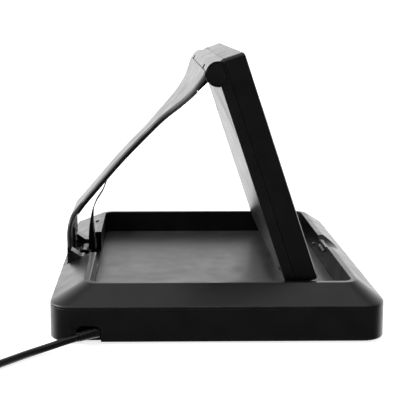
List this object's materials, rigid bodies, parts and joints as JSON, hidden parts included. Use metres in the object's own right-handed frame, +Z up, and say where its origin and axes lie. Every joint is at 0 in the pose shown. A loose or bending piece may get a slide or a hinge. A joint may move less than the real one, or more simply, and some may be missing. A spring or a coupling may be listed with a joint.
{
  "type": "book scanner",
  "caption": "Flat-folding book scanner: a bevelled tray base, a flared rear arm and a deep tilting glass panel hung from it, with a sprung latch, push buttons and a coiled mains cord.",
  "frame": {"origin": "on the table, under the middle of the base's rectangle", "axes": "+Z up, +X towards the front of the tray where the latch is, +Y along the tray's long side; the arm is hinged at -X"},
  "size_m": [0.4604, 0.4739, 0.2546],
  "materials": {
    "satin_black": "black ABS, fine satin moulded texture",
    "grained_black": "black ABS sheet, pebble grain",
    "glass": "flat polished glass over a dark backing",
    "steel": "bright steel, lightly brushed",
    "rubber": "matt black rubber",
    "moulded_pvc": "moulded black PVC",
    "cord_sheath": "smooth black PVC sheath, slightly shiny",
    "ribbon": "pale grey flexible film"
  },
  "bodies": {
    "base": {"arm_hinge_pin": "steel", "base_bottom": "satin_black", "base_screw_1": "steel", "base_screw_2": "steel", "base_screw_3": "steel", "base_screw_4": "steel", "base_top": "satin_black", "cord_coil": "cord_sheath", "cord_run": "cord_sheath", "cord_tail": "cord_sheath", "foot_1": "rubber", "foot_2": "rubber", "foot_3": "rubber", "foot_4": "rubber", "latch_strike": "steel", "mains_plug": "moulded_pvc", "plug_blade_1": "steel", "plug_blade_2": "steel", "strain_relief": "moulded_pvc", "tray_liner": "grained_black"},
    "arm": {"arm": "satin_black", "arm_inner_cover": "satin_black", "hinge_leaf": "steel", "leaf_screw_1": "steel", "leaf_screw_2": "steel", "leaf_screw_3": "steel", "hinge_guard": "satin_black", "ribbon_lead": "ribbon", "panel_lug_near": "steel", "panel_lug_far": "steel"},
    "panel": {"panel_back": "satin_black", "panel_front": "satin_black", "panel_glass": "glass", "platen_backing": "grained_black", "panel_top_cover": "satin_black", "hinge_cap_near": "satin_black", "hinge_cap_far": "satin_black", "panel_screw_1": "steel", "panel_screw_2": "steel", "panel_screw_3": "steel", "panel_screw_4": "steel", "panel_bumper_near": "rubber", "panel_bumper_far": "rubber", "panel_hinge_pin": "steel"},
    "latch": {"latch": "satin_black"},
    "button_1": {"button_1": "satin_black"},
    "button_2": {"button_2": "satin_black"}
  },
  "joints": [
    {"name": "arm_hinge", "type": "hinge", "parent": "base", "child": "arm", "pos_m": [-0.13, 0, 0.0375], "axis": [0, -1, 0], "range_deg": [0, 30]},
    {"name": "panel_hinge", "type": "hinge", "parent": "arm", "child": "panel", "pos_m": [0.0005, 0, 0.2355], "axis": [0, -1, 0], "range_deg": [-50, 60]},
    {"name": "latch_slide", "type": "slide", "parent": "base", "child": "latch", "axis": [1, 0, 0], "range_m": [0, 0.003], "stiffness_N_per_m": 300},
    {"name": "button_1_press", "type": "slide", "parent": "base", "child": "button_1", "axis": [-0.4509, 0, 0.8926], "range_m": [-0.0008, 0], "stiffness_N_per_m": 400},
    {"name": "button_2_press", "type": "slide", "parent": "base", "child": "button_2", "axis": [-0.4509, 0, 0.8926], "range_m": [-0.0008, 0], "stiffness_N_per_m": 400}
  ]
}
